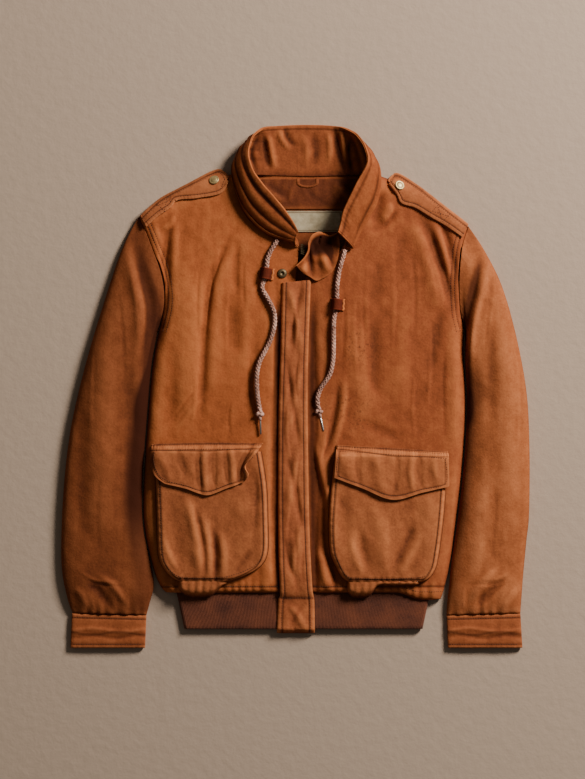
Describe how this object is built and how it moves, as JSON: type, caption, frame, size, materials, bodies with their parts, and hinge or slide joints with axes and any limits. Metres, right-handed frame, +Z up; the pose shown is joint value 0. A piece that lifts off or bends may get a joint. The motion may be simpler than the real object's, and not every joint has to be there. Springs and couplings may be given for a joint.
{
  "type": "leather flight jacket, laid flat",
  "caption": "Worn brown nubuck blouson laid flat on its back: standing collar, drawcords, flapped bellows pockets, shoulder straps, rib-knit waistband, open cuffs.",
  "frame": {"origin": "middle of the jacket's rectangle seen from above, on the surface it lies on", "axes": "+X to the viewer's right across the jacket, +Y from hem to collar, +Z up from the surface"},
  "size_m": [0.7036, 0.7861, 0.0467],
  "materials": {
    "nubuck": "matt nubuck, worn and mottled",
    "rib_knit": "rib-knit wool",
    "woven_label": "plain woven",
    "aged_brass": "dull, aged",
    "dark_metal": "dark, oxidised",
    "braided_cotton": "soft braid",
    "steel_tip": "plain"
  },
  "bodies": {
    "root": {"back_panel": "nubuck", "front_left": "nubuck", "front_right": "nubuck", "sleeve_left": "nubuck", "sleeve_right": "nubuck", "cuff_left": "nubuck", "cuff_right": "nubuck", "collar_outer": "nubuck", "collar_inner": "nubuck", "neck_facing": "nubuck", "hanger_loop": "nubuck", "throat_facing": "nubuck", "placket": "nubuck", "pocket_left": "nubuck", "pocket_right": "nubuck", "flap_left": "nubuck", "flap_right": "nubuck", "epaulette_left": "nubuck", "epaulette_right": "nubuck", "keeper_left": "nubuck", "keeper_right": "nubuck", "rib_hem": "rib_knit", "label": "woven_label", "snap_left": "aged_brass", "snap_right": "aged_brass", "snap_socket": "dark_metal", "cord_left": "braided_cotton", "cord_right": "braided_cotton", "cord_end_left": "steel_tip", "cord_end_right": "steel_tip"}
  },
  "joints": []
}
